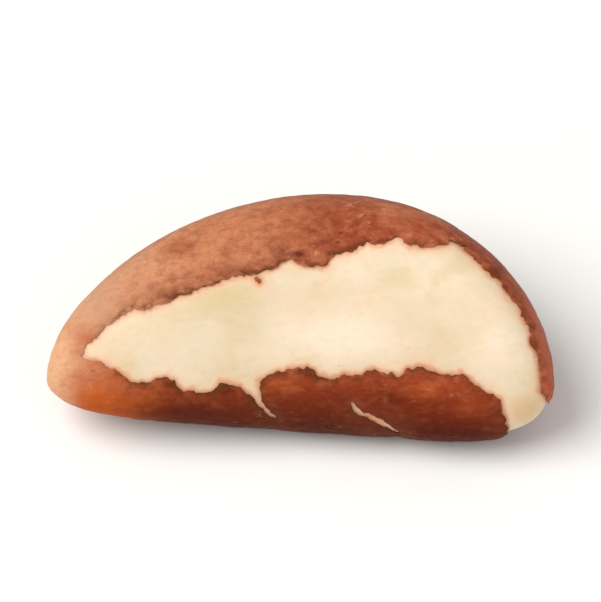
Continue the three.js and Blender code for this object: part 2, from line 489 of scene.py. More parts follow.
    def _chain(self, drawn: Points, chain: tuple[Triple, ...]) -> Points:
        """Measures the distance from a chain, negative inside it.

        Args:
            drawn: Points of the picture plane, one row each.
            chain: The chain's points with half widths.

        Returns:
            One distance for each point.
        """
        reach = []
        for start, end in zip(chain, chain[1:]):
            distance, share = segment_distance(drawn, np.array(start[:2]), np.array(end[:2]))
            reach.append(distance - (1 - share) * start[2] - share * end[2])
        return np.minimum.reduce(reach)

    def _chip(self, points: Points, normals: Points, coarse: Points) -> Points:
        """Measures the distance from the chip on the back, negative inside it.

        Args:
            points: Points of the surface, one row each.
            normals: The surface's normals there.
            coarse: The coarse tears there.

        Returns:
            One distance for each point.
        """
        lean = math.radians(self.chip_lean)
        across, up = points[:, 0] - self.chip_centre[0], points[:, 2] - self.chip_centre[1]
        along_lean = math.cos(lean) * across + math.sin(lean) * up
        square_to_lean = math.cos(lean) * up - math.sin(lean) * across
        turned = np.column_stack((along_lean, square_to_lean))
        oval = (np.linalg.norm(turned / self.chip_half_size, axis=1) - 1) * self.chip_half_size[1]
        near = np.clip(1 - oval / self.tear_reach, 0, 1)
        return np.maximum(oval, -self.turn_run * normals[:, 1]) + near * coarse


@dataclass(frozen=True)
class NutForm:
    """The smooth form of the nut as an even mesh of small squares.

    Attributes:
        weld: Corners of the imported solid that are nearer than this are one.
        mould_levels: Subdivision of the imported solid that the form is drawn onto.
        cell: Side of the form's squares.
        relax_rounds: How often the squares are evened out and laid back on the mould.
        relax_steps: Passes of smoothing in each round.
        relax_share: How far a pass moves a corner, as a share of the way to its neighbours' middle.
        last_steps: Passes after the last round, which take out the mould's faint creases.
    """

    weld: float = 0.001
    mould_levels: int = 3
    cell: float = 0.187
    relax_rounds: int = 2
    relax_steps: int = 12
    relax_share: float = 0.5
    last_steps: int = 2

    def build(self, packed: Piece) -> Piece:
        """Makes the form.

        Args:
            packed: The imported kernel.

        Returns:
            A new object.
        """
        mould = copy_object(packed, "mould")
        with edit_mode(mould):
            bpy.ops.mesh.select_all(action="SELECT")
            bpy.ops.mesh.remove_doubles(threshold=self.weld * MM)
            bpy.ops.mesh.tris_convert_to_quads(face_threshold=ANY_ANGLE, shape_threshold=ANY_ANGLE)
        apply_modifier(mould, "SUBSURF", levels=self.mould_levels, render_levels=self.mould_levels)
        form = copy_object(mould, "form")
        apply_modifier(form, "REMESH", mode="VOXEL", voxel_size=self.cell * MM, use_smooth_shade=True)
        for _ in range(self.relax_rounds):
            apply_modifier(form, "SMOOTH", factor=self.relax_share, iterations=self.relax_steps)
            apply_modifier(form, "SHRINKWRAP", target=mould, wrap_method="NEAREST_SURFACEPOINT")
        apply_modifier(form, "SMOOTH", factor=self.relax_share, iterations=self.last_steps)
        bpy.data.objects.remove(mould)
        return form


class Sketch:
    """A material as a graph of nodes that ends in one Principled shader."""

    def __init__(self, name: str) -> None:
        """Starts a material.

        Args:
            name: The material's name.
        """
        self.material = bpy.data.materials.new(name)
        self.material.use_nodes = True
        self.tree = self.material.node_tree
        self.shader = next(node for node in self.tree.nodes if node.type == "BSDF_PRINCIPLED")
        self.place = self.node("TexCoord").outputs["Object"]
        self.drawn: dict["Source", Socket] = {}

    def feed(self, node: Node, inputs: dict[str, object]) -> None:
        """Links inputs of a node, or sets their values.

        Args:
            node: The node.
            inputs: An output, a number, or a colour or vector for each input, by its identifier.
        """
        sockets = {socket.identifier: socket for socket in node.inputs}
        for name, value in inputs.items():
            if isinstance(value, Socket):
                self.tree.links.new(value, sockets[name])
            else:
                sockets[name].default_value = value

    def node(self, kind: str, inputs: dict[str, object] | None = None, **settings: object) -> Node:
        """Adds a node.

        Args:
            kind: Blender's name for it without ShaderNode.
            inputs: What its inputs are fed.
            settings: Values for the node's fields.

        Returns:
            The node.
        """
        node = self.tree.nodes.new(f"ShaderNode{kind}")
        for name, value in settings.items():
            setattr(node, name, value)
        self.feed(node, inputs or {})
        return node

    def texture(self, kind: str, per_mm: Triple, shift: float, output: str, **rest: object) -> Socket:
        """Adds a texture that is scaled to the piece.

        Args:
            kind: Blender's name for it without ShaderNodeTex.
            per_mm: Its swells or cells in each millimetre along X, Y and Z.
            shift: Moves the pattern.
            output: The output to read.
            rest: More for the texture's node.

        Returns:
            The pattern's value.
        """
        scale = [rate / MM for rate in per_mm]
        spread = self.node("Mapping", {"Vector": self.place, "Location": [shift] * 3, "Scale": scale})
        texture = self.node(f"Tex{kind}", **rest)
        self.feed(texture, {"Vector": spread.outputs["Vector"], "Scale": 1.0})
        return texture.outputs[output]

    def work_out(self, operation: str, *values: object) -> Socket:
        """Adds one step of arithmetic on outputs or numbers, and gives its result."""
        inputs = dict(zip(("Value", "Value_001", "Value_002"), values))
        return self.node("Math", inputs, operation=operation).outputs["Value"]

    def read(self, source: "Source") -> Socket:
        """Gives the value of a source, whose nodes are added once.

        Args:
            source: What is measured.

        Returns:
            Its value.
        """
        if source not in self.drawn:
            self.drawn[source] = source.draw(self)
        return self.drawn[source]

    def product(self, sources: tuple["Source", ...]) -> Socket:
        """Multiplies sources.

        Args:
            sources: What is measured.

        Returns:
            The product of their values.
        """
        total = self.read(sources[0])
        for source in sources[1:]:
            total = self.work_out("MULTIPLY", total, self.read(source))
        return total

    def blend(self, share: Socket, under: object, over: object) -> Socket:
        """Lays one colour over another.

        Args:
            share: How much of the upper colour shows.
            under: The lower colour.
            over: The upper colour.

        Returns:
            The colour.
        """
        inputs = {"Factor_Float": share, "A_Color": under, "B_Color": over}
        node = self.node("Mix", inputs, data_type="RGBA")
        return next(socket for socket in node.outputs if socket.identifier == "Result_Color")

    def bump(self, height: Socket, depth: float, under: Socket | None = None) -> Socket:
        """Turns a height into a bumpy normal.

        Args:
            height: The height, from 0 to 1.
            depth: How deep 1 is, in millimetres.
            under: A normal to add to.

        Returns:
            The normal.
        """
        node = self.node("Bump", {"Height": height, "Distance": depth * MM})
        if under is not None:
            self.feed(node, {"Normal": under})
        return node.outputs["Normal"]


class Source(Protocol):
    """What a material can measure over the surface."""

    def draw(self, sketch: Sketch) -> Socket:
        """Adds its nodes to a material and gives its value."""


class Axis(Enum):
    """The nut's own directions."""

    LENGTH = "X"
    SIDE = "Y"
    HEIGHT = "Z"

    def draw(self, sketch: Sketch) -> Socket:
        """Gives the place along this direction in millimetres."""
        axes = sketch.node("SeparateXYZ", {"Vector": sketch.place})
        return sketch.work_out("DIVIDE", axes.outputs[self.value], MM)


@dataclass(frozen=True)
class Swell:
    """Noise from 0 to 1 in a material.

    Attributes:
        per_mm: Swells in each millimetre along X, Y and Z.
        shift: Moves the noise, so that no two are alike.
        detail: Finer noise on top, in octaves.
        roughness: How strong the finer noise is.
        distortion: How much it swirls.
    """

    per_mm: Triple
    shift: float
    detail: float = 3.0
    roughness: float = 0.55
    distortion: float = 0.0

    def draw(self, sketch: Sketch) -> Socket:
        """Gives the noise."""
        inputs = {"Detail": self.detail, "Roughness": self.roughness, "Distortion": self.distortion}
        return sketch.texture("Noise", self.per_mm, self.shift, "Fac", inputs=inputs)


@dataclass(frozen=True)
class Cells:
    """A pattern of cells in a material.

    Attributes:
        per_mm: Cells in each millimetre along X, Y and Z.
        shift: Moves the cells.
        rounded: Whether the seams between the cells are rounded off.
    """

    per_mm: Triple
    shift: float
    rounded: bool = False

    def draw(self, sketch: Sketch) -> Socket:
        """Gives the distance from the cells' middles."""
        feature = "SMOOTH_F1" if self.rounded else "F1"
        return sketch.texture("Voronoi", self.per_mm, self.shift, "Distance", feature=feature)


@dataclass(frozen=True)
class Sum:
    """Several sources added up.

    Attributes:
        terms: Each source with its weight.
    """

    terms: tuple[tuple[Source, float], ...]

    def draw(self, sketch: Sketch) -> Socket:
        """Adds its nodes to a material.

        Args:
            sketch: The material.

        Returns:
            The sum.
        """
        total = 0.0
        for source, weight in self.terms:
            total = sketch.work_out("MULTIPLY_ADD", sketch.read(source), weight, total)
        return total


@dataclass(frozen=True)
class Fade:
    """A source turned into a share, which is held beyond both its ends.

    Attributes:
        source: What is measured.
        low: The measure that gives start.
        high: The measure that gives end.
        start: The share at low.
        end: The share at high.
        smooth: Whether the share eases in and out.
    """

    source: Source
    low: float
    high: float
    start: float = 0.0
    end: float = 1.0
    smooth: bool = True

    def draw(self, sketch: Sketch) -> Socket:
        """Adds its nodes to a material.

        Args:
            sketch: The material.

        Returns:
            The share.
        """
        ease = "SMOOTHSTEP" if self.smooth else "LINEAR"
        ends = {"From Min": self.low, "From Max": self.high, "To Min": self.start, "To Max": self.end}
        inputs = {"Value": sketch.read(self.source)} | ends
        return sketch.node("MapRange", inputs, interpolation_type=ease).outputs["Result"]


class Tone(Enum):
    """A colour as a screen shows it, with red, green and blue from 0 to 255."""

    def draw(self, sketch: Sketch) -> tuple[float, float, float, float]:
        """Gives the light that the colour stands for, which needs no nodes."""
        light = Color([level / FULL_LEVEL for level in self.value]).from_srgb_to_scene_linear()
        return (*light, 1.0)


class FleshTone(Tone):
    """Colours of the flesh."""

    CREAM = (221, 201, 169)
    PALE = (228, 210, 182)
    BLUSH = (231, 204, 173)
    OLIVE = (212, 190, 138)
    # Painted shade, low at the wide end where the face turns down.
    SAND_SHADE = (212, 170, 108)
    ROSY = (242, 222, 200)
    PINK = (236, 190, 156)
    PEACH = (222, 156, 114)
    RUST = (205, 130, 92)
    SPECK = (196, 160, 110)


class SkinTone(Tone):
    """Colours of the skin."""

    TAN = (206, 139, 98)
    BROWN = (158, 70, 40)
    LIGHT = (212, 138, 98)
    RED = (132, 50, 26)
    DARK = (78, 28, 13)
    # The next two are painted shade low on the nut. The first is also warm painted reflected light, and
    # both are partly the skin's own deeper colour.
    LOW_SHADE = (136, 45, 10)
    SHADE = (58, 11, 1)
    PALE_TIP = (199, 150, 118)
    WAN = (226, 174, 132)
    AMBER = (194, 90, 30)
    DUST = (218, 154, 116)
    # Painted highlight on the lobes of the lower strip and at the wide end's rim.
    ORANGE_HIGHLIGHT = (188, 92, 44)
    CORAL = (188, 100, 70)
    # Margin by the torn edge: the skin's redder colour and painted shade.
    RUDDY = (152, 76, 52)
    # Dark scars, and painted shade on the lower strip.
    SCAR_AND_SHADE = (84, 24, 8)
    TORN = (94, 54, 26)


class FloorTone(Tone):
    """Colour of the floor."""

    WHITE = (243, 242, 240)


@dataclass(frozen=True)
class Wash:
    """A colour laid over others.

    Attributes:
        colour: The colour, plain or mixed.
        shares: The wash shows by the product of these.
    """

    colour: "Tone | Mixture"
    shares: tuple[Source, ...]


@dataclass(frozen=True)
class Mixture:
    """A colour with washes of others over it.

    Attributes:
        base: The lowest colour.
        washes: The washes, in the order in which they are laid.
    """

    base: Tone
    washes: tuple[Wash, ...]

    def draw(self, sketch: Sketch) -> Socket:
        """Adds its nodes to a material.

        Args:
            sketch: The material.

        Returns:
            The mixed colour.
        """
        colour = self.base.draw(sketch)
        for upper in self.washes:
            colour = sketch.blend(sketch.product(upper.shares), colour, upper.colour.draw(sketch))
        return colour


def wash(colour: Tone | Mixture, *shares: Source) -> Wash:
    """Makes a wash that shows by the product of some shares."""
    return Wash(colour, shares)


def mixed(base: Tone, *washes: Wash) -> Mixture:
    """Makes a colour with some washes over it."""
    return Mixture(base, washes)


@dataclass(frozen=True)
class Finish:
    """The look of one layer of the nut.

    Attributes:
        name: The material's name.
        base: Its lowest colour.
        washes: The colours over that, in the order in which they are laid.
        reliefs: Patterns of fine relief and how deep each is in millimetres, coarse ones first.
        roughness: How dull the surface is.
        specular: How strongly it reflects.
        glow: How much of the light goes in under the surface.
        glow_spread: How far red, green and blue light go there, as shares of glow_reach.
        glow_reach: How far light goes there, in millimetres.
    """

    name: str
    base: Tone
    washes: tuple[Wash, ...]
    reliefs: tuple[tuple[Source, float], ...]
    roughness: Fade
    specular: float
    glow: float
    glow_spread: Triple
    glow_reach: float

    def material(self) -> bpy.types.Material:
        """Makes the material.

        Returns:
            The material, ready to be given to a piece.
        """
        sketch = Sketch(self.name)
        normal = None
        for source, depth in self.reliefs:
            normal = sketch.bump(sketch.read(source), depth, normal)
        inputs = {
            "Base Color": Mixture(self.base, self.washes).draw(sketch),
            "Roughness": sketch.read(self.roughness),
            "Normal": normal,
            "Specular IOR Level": self.specular,
            "Subsurface Weight": self.glow,
            "Subsurface Radius": self.glow_spread,
            "Subsurface Scale": self.glow_reach * MM,
        }
        sketch.feed(sketch.shader, inputs)
        return sketch.material


@dataclass(frozen=True)
class FleshFinish(Finish):
    """Cream, waxy flesh, a little see-through, with soft clouds of colour and a peach line at the skin."""

    name: str = "nut flesh"
    base: Tone = FleshTone.CREAM
    washes: tuple[Wash, ...] = (
        # Soft clouds.
        wash(FleshTone.PALE, Fade(Swell((0.13, 0.16, 0.16), 4.2, 2.0), 0.38, 0.62)),
        wash(FleshTone.BLUSH, Fade(Swell((0.19, 0.24, 0.24), 17.3, 2.0), 0.5, 0.7, 0.0, 0.6)),
        wash(FleshTone.OLIVE, Fade(Swell((0.25, 0.34, 0.34), 31.8, 3.0, 0.5, 0.6), 0.52, 0.74, 0.0, 0.35)),
        # The placed patches; the sandy one low at the wide end is painted shade where the face turns down.
        wash(
            mixed(FleshTone.OLIVE, wash(FleshTone.SAND_SHADE, Fade(Axis.LENGTH, 13.5, 16.0))),
            Fade(Channel.PATCH, 0.0, 1.0, 0.0, 0.6),
        ),
        # Paler patches; the large middle one is partly painted highlight.
        wash(FleshTone.ROSY, Fade(Channel.PATCH, 0.0, -1.0, 0.0, 0.8)),
        # Mottling, then a few dots, then scuffs where the nut lies.
        wash(FleshTone.SPECK, Fade(Swell((1.3, 2.0, 2.0), 9.0), 0.4, 0.75, 0.0, 0.12)),
        wash(
            FleshTone.SPECK,
            Fade(Cells((0.9, 1.3, 1.3), 2.0), 0.03, 0.12, 0.6, 0.0),
            Fade(Swell((0.5, 0.5, 0.5), 40.0, 1.0), 0.55, 0.66),
        ),
        wash(
            FleshTone.SPECK,
            Fade(Swell((0.5, 0.7, 0.7), 23.0, 4.0, 0.65), 0.5, 0.68, 0.0, 0.6),
            Fade(Axis.HEIGHT, 1.2, 0.2),
        ),
        # The stain beside the skin's edge, with a narrow line that is deeper low on the nut.
        wash(FleshTone.PINK, Fade(Channel.DEPTH, -1.0, -0.1, 0.0, 0.5)),
        wash(
            mixed(FleshTone.PEACH, wash(FleshTone.RUST, Fade(Axis.HEIGHT, 6.2, 5.0))),
            Fade(Channel.DEPTH, -0.45, -0.05, 0.0, 0.85),
            Fade(Swell((0.7, 0.9, 0.9), 55.0, 2.0), 0.35, 0.6, 0.5, 1.0),
        ),
    )
    reliefs: tuple[tuple[Source, float], ...] = (
        (Swell((0.9, 1.3, 1.3), 6.0), 0.05),
        (Swell((4.0, 7.0, 7.0), 12.0), 0.01),
    )
    roughness: Fade = Fade(Swell((0.8, 1.2, 1.2), 21.0), 0.3, 0.7, 0.34, 0.5)
    specular: float = 0.4
    glow: float = 0.25
    glow_spread: Triple = (1.0, 0.62, 0.34)
    glow_reach: float = 1.1


CLOUDS = Swell((0.17, 0.24, 0.24), 3.3)
MOTTLE = Swell((1.0, 1.5, 1.5), 13.0)
PEBBLES = Cells((1.9, 2.9, 2.9), 27.0, rounded=True)
FINE_GRAIN = Swell((6.0, 10.0, 10.0), 33.0, 4.0, 0.7)
RAGGED_LENGTH = Sum(((Swell((0.22, 0.3, 0.3), 91.0, 3.0, 0.6), 7.0), (Axis.LENGTH, 1.0)))
UNEVEN_HEIGHT = Sum(((CLOUDS, 5.0), (Axis.HEIGHT, 1.0)))
NARROW_END = Fade(RAGGED_LENGTH, -4.5, -13.0)
OFF_NARROW_END = Fade(NARROW_END, 0.0, 1.0, 1.0, 0.3)
HIGH_UP = Fade(Axis.HEIGHT, 5.0, 11.0, 0.3, 1.0)


@dataclass(frozen=True)
class SkinFinish(Finish):
    """Thin, finely pebbled red-brown skin, paler to the narrow end and patchily dark at its edge."""

    name: str = "nut skin"
    base: Tone = SkinTone.TAN
    washes: tuple[Wash, ...] = (
        # Browner to the wide end, with large clouds, then darker and redder lower down: painted shade and
        # warm painted reflected light, partly the skin's own deeper colour.
        wash(SkinTone.BROWN, Fade(Axis.LENGTH, -13.0, 9.0)),
        wash(SkinTone.LIGHT, Fade(CLOUDS, 0.45, 0.75, 0.0, 0.5)),
        wash(SkinTone.RED, Fade(CLOUDS, 0.52, 0.25, 0.0, 0.55)),
        wash(SkinTone.LOW_SHADE, Fade(Axis.HEIGHT, 10.5, 6.5, 0.0, 0.9)),
        wash(SkinTone.SHADE, Fade(Axis.HEIGHT, 8.0, 3.0, 0.0, 0.88)),
        # The pale narrow end, wan at its very tip, with an amber glow low on its front.
        wash(
            mixed(
                SkinTone.PALE_TIP,
                wash(SkinTone.WAN, Fade(RAGGED_LENGTH, -12.2, -14.8, 0.0, 0.85)),
                wash(
                    SkinTone.AMBER,
                    Fade(UNEVEN_HEIGHT, 12.5, 8.5),
                    Fade(RAGGED_LENGTH, -15.3, -11.7),
                    Fade(Axis.SIDE, 1.0, -4.0, 0.15, 1.0),
                    Fade(Axis.HEIGHT, 0.5, 3.0, 0.2, 1.0),
                ),
            ),
            NARROW_END,
            Fade(Axis.HEIGHT, 0.5, 3.5, 0.6, 0.93),
        ),
        # The ruddy margin along the torn edge: partly the skin's own redder colour, partly painted shade
        # where the band turns down to the face.
        wash(
            mixed(SkinTone.RUDDY, wash(SkinTone.CORAL, Fade(Axis.LENGTH, -1.0, 5.0, 0.0, 0.55))),
            Fade(Channel.DEPTH, 0.0, 2.4, 0.45, 0.0),
            OFF_NARROW_END,
            HIGH_UP,
        ),
        # Mottling, grain, the seams between the pebbles, dusty flecks and pits.
        wash(SkinTone.LIGHT, Fade(MOTTLE, 0.45, 0.8, 0.0, 0.4), OFF_NARROW_END, HIGH_UP),
        wash(SkinTone.RED, Fade(MOTTLE, 0.55, 0.2, 0.0, 0.45), OFF_NARROW_END),
        wash(SkinTone.DARK, Fade(FINE_GRAIN, 0.55, 0.3, 0.0, 0.3), OFF_NARROW_END),
        wash(SkinTone.DARK, Fade(PEBBLES, 0.35, 0.8, 0.0, 0.25), OFF_NARROW_END),
        wash(
            SkinTone.DUST,
            Fade(Swell((1.5, 2.0, 2.0), 5.0, 2.0), 0.56, 0.74, 0.0, 0.45),
            Fade(Swell((0.3, 0.4, 0.4), 51.0, 2.0), 0.48, 0.62),
            HIGH_UP,
        ),
        wash(
            SkinTone.DARK,
            Fade(Cells((0.7, 1.1, 1.1), 8.0), 0.05, 0.2, 0.6, 0.0),
            Fade(Swell((0.3, 0.4, 0.4), 63.0, 2.0), 0.56, 0.68),
        ),
        # The placed patches: dark scars and painted shade, and orange painted highlights.
        wash(SkinTone.SCAR_AND_SHADE, Fade(Channel.PATCH, 0.0, 1.0, smooth=False), Fade(MOTTLE, 0.6, 0.4, 0.5, 1.0)),
        wash(
            SkinTone.ORANGE_HIGHLIGHT,
            Fade(Channel.PATCH, 0.0, -1.0, smooth=False),
            Fade(MOTTLE, 0.35, 0.65, 0.45, 0.8),
        ),
        # The coral wide end.
        wash(
            SkinTone.CORAL,
            Fade(RAGGED_LENGTH, 18.8, 21.6, 0.0, 0.9),
            Fade(MOTTLE, 0.3, 0.7, 0.7, 1.0),
            Fade(Axis.SIDE, 2.0, -3.0, 0.1, 1.0),
        ),
        # Painted shade: the dark belt where the nut turns away from its peeled face.
        wash(
            SkinTone.DARK,
            Fade(Channel.TURN, 0.0, 1.0, 0.0, 0.34),
            Fade(MOTTLE, 0.65, 0.4, 0.55, 1.0),
            Fade(Axis.LENGTH, 14.0, 15.8, 1.0, 0.5),
            OFF_NARROW_END,
        ),
        # The torn edge, patchily dark, but not at the narrow end.
        wash(
            SkinTone.TORN,
            Fade(Channel.DEPTH, 0.0, 0.6, 0.85, 0.0),
            Fade(MOTTLE, 0.6, 0.4, 0.05, 1.0),
            Fade(Axis.LENGTH, -16.5, -11.5),
            Fade(Axis.LENGTH, 0.0, 12.0, 1.0, 0.6),
        ),
    )
    reliefs: tuple[tuple[Source, float], ...] = (
        (Sum(((MOTTLE, 1.3), (PEBBLES, -1.0))), 0.08),
        (Fade(Swell((1.6, 3.0, 3.0), 71.0, 3.0, 0.6, 0.8), 0.3, 0.55), 0.025),
        (FINE_GRAIN, 0.02),
    )
    roughness: Fade = Fade(MOTTLE, 0.35, 0.65, 0.46, 0.62)
    specular: float = 0.06
    glow: float = 0.1
    glow_spread: Triple = (1.0, 0.35, 0.15)
    glow_reach: float = 0.5


@dataclass(frozen=True)
class FloorFinish:
    """Plain pale floor.

    Attributes:
        roughness: How dull it is.
        specular: How strongly it reflects.
    """

    roughness: float = 0.7
    specular: float = 0.2

    def material(self) -> bpy.types.Material:
        """Makes the material.

        Returns:
            The material, ready to be given to a piece.
        """
        sketch = Sketch("pale floor")
        inputs = {
            "Base Color": FloorTone.WHITE.draw(sketch),
            "Roughness": self.roughness,
            "Specular IOR Level": self.specular,
        }
        sketch.feed(sketch.shader, inputs)
        return sketch.material


def dress(piece: Piece, material: bpy.types.Material) -> None:
    """Gives a piece its one material."""
    piece.data.materials.clear()
    piece.data.materials.append(material)


def hand_over(piece: Piece, layer: Layer) -> None:
    """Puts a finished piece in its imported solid's place.

    Args:
        piece: The piece.
        layer: The layer that it is.
    """
    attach(piece, BODY)
    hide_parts(layer.node)
    LOG.info("%s: %d faces", piece.name, len(piece.data.polygons))


@dataclass(frozen=True)
class Flesh:
    """The kernel, with low dents and faint furrows along it.

    Attributes:
        dents: Noise by which the surface sinks or swells.
        flat_height: Height up to which the surface is the flat spot that the nut rests on.
        patches: Where the flesh is more olive, or paler. The sandy patch low at the wide end is painted
            shade, and the large pale patch in the middle is partly painted highlight.
    """

    dents: tuple[Grain, ...] = (
        Grain(0.10, (6.0, 4.0, 4.0), 1.7),
        Grain(0.035, (2.6, 1.2, 1.2), 8.1),
    )
    flat_height: float = 0.01
    patches: tuple[Patch, ...] = (
        Patch(-5.6, 6.6, 4.4, 1.6, 0.9),
        Patch(7.2, 7.9, 2.6, 1.5, 0.8),
        Patch(-10.2, 3.4, 2.4, 1.4, 0.4),
        Patch(12.6, 5.2, 2.4, 2.0, 0.3),
        # Painted shade where the face turns down at the wide end.
        Patch(16.6, -1.8, 1.8, 1.6, 1.0),
        # Paler, pinker middle of the face: partly the flesh's own blush, partly painted highlight.
        Patch(3.2, 3.6, 6.0, 2.6, -1.0),
        Patch(4.2, 8.3, 1.8, 1.4, -0.5),
        Patch(14.3, 3.0, 2.6, 3.0, -0.6),
    )

    def build(self, form: Piece, edge: SkinEdge, sight: Sight) -> Piece:
        """Makes the kernel.

        Args:
            form: The smooth form of the nut.
            edge: Where the skin ends.
            sight: The line of sight.

        Returns:
            The finished piece.
        """
        kernel = copy_object(form, "nut_kernel")
        points, normals = read_points(kernel), read_normals(kernel)
        store(kernel, Channel.DEPTH, edge.depth(points, normals, sight))
        store(kernel, Channel.PATCH, patch_share(self.patches, points, normals, sight))
        swell = np.where(points[:, 2] < self.flat_height, 0.0, summed(self.dents, points))
        points += swell[:, None] * normals
        points[:, 2] = np.maximum(points[:, 2], 0.0)
        write_points(kernel, points)
        select_only(kernel)
        bpy.ops.object.shade_smooth()
        dress(kernel, FleshFinish().material())
        hand_over(kernel, Layer.FLESH)
        return kernel


@dataclass(frozen=True)
class Skin:
    """The torn skin, a thin coat that lies on the kernel and thins out to its edge.

    Attributes:
        lift: Air between the form and the coat.
        curl: How much further the torn edge stands off here and there.
        curl_run: How far in from the edge it stands off.
        curl_lengths: Two places along the nut, from the first of which the curl grows to full at the other.
        curl_heights: Two heights between which it grows in the same way.
        thickness: Full thickness of the coat.
        plain_share: How thick the coat is without its pebbles, as a share of that.
        least_share: The coat is nowhere thinner than this share.
        lip: Thickness at the torn edge, as a share of the full one.
        lip_run: How far in from the edge the coat reaches its full thickness.
        pebbles: Noise on its outer face, as a share of its thickness.
        clearance: Air between the coat and what the nut lies on.
        least_slant: Least downward slant with which the room under the coat is worked out.
        rim_shade_facings: Three cosines between the surface and the line of sight. The belt of painted
            shade where the nut turns away starts at the first, is strongest at the second and ends at the
            third.
        patches: Where the coat is scarred or darkened by painted shade, or lightened orange by painted
            highlights.
        least_flake: Loose flakes with fewer faces are left out.
        least_slope: Keeps a corner where the depth hardly changes from moving far.
        longest_step: How far a corner may move to lie on the torn edge.
        smooth_angle: Edges sharper than this stay sharp, in degrees.
    """

    lift: float = 0.05
    curl: Grain = Grain(0.16, (2.2, 2.2, 2.2), 6.6)
    curl_run: float = 0.9
    curl_lengths: Pair = (-15.0, -10.0)
    curl_heights: Pair = (0.4, 1.2)
    thickness: float = 0.36
    plain_share: float = 0.88
    least_share: float = 0.1
    lip: float = 0.24
    lip_run: float = 1.1
    pebbles: tuple[Grain, ...] = (
        Grain(0.12, (2.6, 1.7, 1.7), 4.4),
        Grain(0.10, (0.9, 0.7, 0.7), 9.3),
    )
    clearance: float = 0.03
    least_slant: float = 0.05
    rim_shade_facings: Triple = (-0.6, 0.0, 0.4)
    patches: tuple[Patch, ...] = (
        Patch(-0.1, 9.75, 0.7, 0.35),
        Patch(1.6, 10.6, 0.7, 0.3, 0.5),
        Patch(-10.0, 6.8, 1.6, 0.8, 0.35),
        Patch(-1.8, 10.1, 1.2, 0.7, 0.4),
        Patch(-5.0, 8.6, 2.4, 0.8, 0.3),
        # Painted shade on the lower strip beside the first split.
        Patch(-5.7, -0.1, 1.3, 0.6, 0.9),
        Patch(-10.0, 0.2, 1.0, 0.6, 0.7),
        Patch(0.4, 1.1, 1.2, 0.5, 0.7),
        Patch(6.6, -0.9, 1.8, 0.8, 0.7),
        Patch(17.2, 3.1, 0.5, 0.6, 0.7),
        Patch(14.6, 8.4, 0.7, 0.7, 0.6),
        # Painted shade low on the strip's narrow half.
        Patch(-8.6, -1.8, 5.0, 0.9, 0.8),
        # The next four are orange painted highlights on the strip's lobes and at the wide end's rim.
        Patch(-1.2, 0.1, 2.0, 0.8, -0.6),
        Patch(9.4, -0.2, 2.4, 0.9, -0.7),
        Patch(12.6, -1.5, 1.8, 0.9, -0.5),
        Patch(18.4, 2.4, 0.5, 3.4, -1.0),
    )
    least_flake: int = 6
    least_slope: float = 0.05
    longest_step: float = 0.14
    smooth_angle: float = 50.0

    def build(self, form: Piece, edge: SkinEdge, sight: Sight) -> Piece:
        """Makes the skin.

        Args:
            form: The smooth form of the nut.
            edge: Where the skin ends.
            sight: The line of sight.

        Returns:
            The finished piece.
        """
        skin = copy_object(form, "nut_skin")
        points, normals = read_points(skin), read_normals(skin)
        depth = edge.depth(points, normals, sight)
        store(skin, Channel.DEPTH, depth)
        store(skin, Channel.SLOPE, self._slopes(points, normals, depth, read_edges(skin)))
        store(skin, Channel.PATCH, patch_share(self.patches, points, normals, sight))
        # Painted shade: a belt that darkens where the surface turns away from the line of sight.
        store(skin, Channel.TURN, np.interp(normals @ sight.to_viewer, self.rim_shade_facings, (0.0, 1.0, 0.0)))
        self._open(skin)
        self._drop_crumbs(skin)
        self._settle_edge(skin)
        self._stand_off(skin)
        self._thicken(skin)
        select_only(skin)
        bpy.ops.object.shade_smooth_by_angle(angle=math.radians(self.smooth_angle))
        skin.data.attributes.remove(skin.data.attributes[Channel.SLOPE.value])
        dress(skin, SkinFinish().material())
        hand_over(skin, Layer.SKIN)
        return skin

    def _slopes(self, points: Points, normals: Points, depth: Points, edges: np.ndarray) -> Points:
        """Works out how depth changes over the surface, from each point's neighbours.

        Args:
            points: The points.
            normals: Their normals.
            depth: The depth at each point.
            edges: The pairs of neighbours.

        Returns:
            The gradient at each point, one row each.
        """
        both = np.vstack((edges, edges[:, ::-1]))
        run = points[both[:, 1]] - points[both[:, 0]]
        rise = depth[both[:, 1]] - depth[both[:, 0]]
        spread = normals[:, :, None] * normals[:, None, :]
        np.add.at(spread, both[:, 0], run[:, :, None] * run[:, None, :])
        pull = np.zeros_like(points)
        np.add.at(pull, both[:, 0], run * rise[:, None])
        return np.linalg.solve(spread, pull[:, :, None])[:, :, 0]

    def _open(self, skin: Piece) -> None:
        """Deletes the faces where the flesh is bare.

        Args:
            skin: The skin, still without thickness.
        """
        depth = recall(skin, Channel.DEPTH)
        with edit_mode(skin):
            bpy.ops.mesh.select_mode(type="FACE")
            bpy.ops.mesh.select_all(action="DESELECT")
        for face in skin.data.polygons:
            face.select = bool(np.mean(depth[list(face.vertices)]) < 0)
        with edit_mode(skin):
            bpy.ops.mesh.delete(type="FACE")

    def _drop_crumbs(self, skin: Piece) -> None:
        """Deletes the loose flakes that are too small to show.

        Args:
            skin: The skin, still without thickness.
        """
        with edit_mode(skin):
            bpy.ops.mesh.select_all(action="SELECT")
            bpy.ops.mesh.separate(type="LOOSE")
        flakes = list(bpy.context.selected_objects)
        kept = [flake for flake in flakes if len(flake.data.polygons) >= self.least_flake]
        for flake in flakes:
            if flake not in kept:
                bpy.data.objects.remove(flake)
        bpy.ops.object.select_all(action="DESELECT")
        for flake in kept:
            flake.select_set(True)
        bpy.context.view_layer.objects.active = skin
        if len(kept) > 1:
            bpy.ops.object.join()

